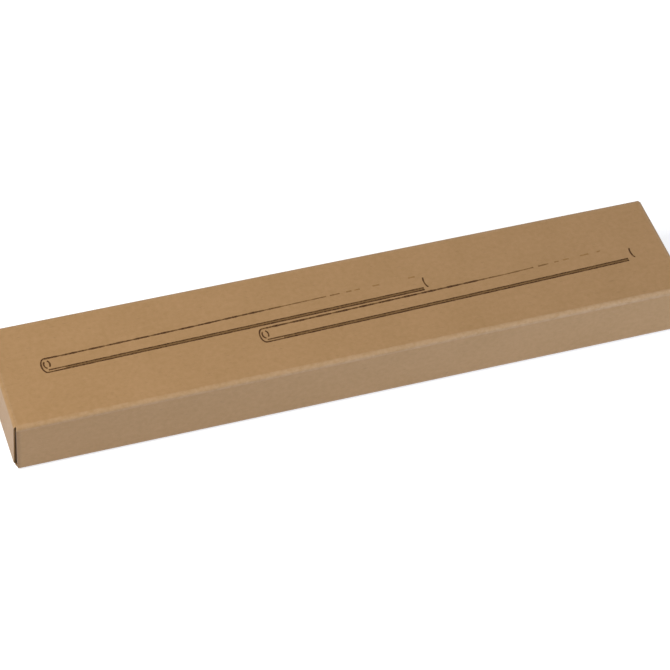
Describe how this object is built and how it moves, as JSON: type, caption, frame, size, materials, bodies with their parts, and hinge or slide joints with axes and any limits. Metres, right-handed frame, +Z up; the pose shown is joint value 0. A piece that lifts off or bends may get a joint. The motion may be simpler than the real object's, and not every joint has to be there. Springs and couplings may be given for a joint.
{
  "type": "tuck-end paperboard carton",
  "caption": "Long flat kraft paperboard carton with a hinged tuck closure at each end and two drinking straws drawn on its top in plain line.",
  "frame": {"origin": "middle of the base, on the surface that the carton stands on", "axes": "+X along the carton to the right end, +Y to the back, +Z up through the printed top panel"},
  "size_m": [0.2204, 0.041, 0.0195],
  "materials": {
    "kraft_board": "smooth uncoated kraft board, matt",
    "print_ink": "matt dark brown ink soaked into the board"
  },
  "bodies": {
    "carton": {"carton_body": "kraft_board", "straw_print": "print_ink"},
    "left_flap": {"left_closure": "kraft_board"},
    "right_flap": {"right_closure": "kraft_board"}
  },
  "joints": [
    {"name": "left_closure_hinge", "type": "hinge", "parent": "carton", "child": "left_flap", "pos_m": [-0.1088, 0, 0.0183], "axis": [0, 1, 0], "range_deg": [-0.8, 119]},
    {"name": "right_closure_hinge", "type": "hinge", "parent": "carton", "child": "right_flap", "pos_m": [0.1088, 0, 0.0183], "axis": [0, -1, 0], "range_deg": [-0.8, 119]}
  ]
}
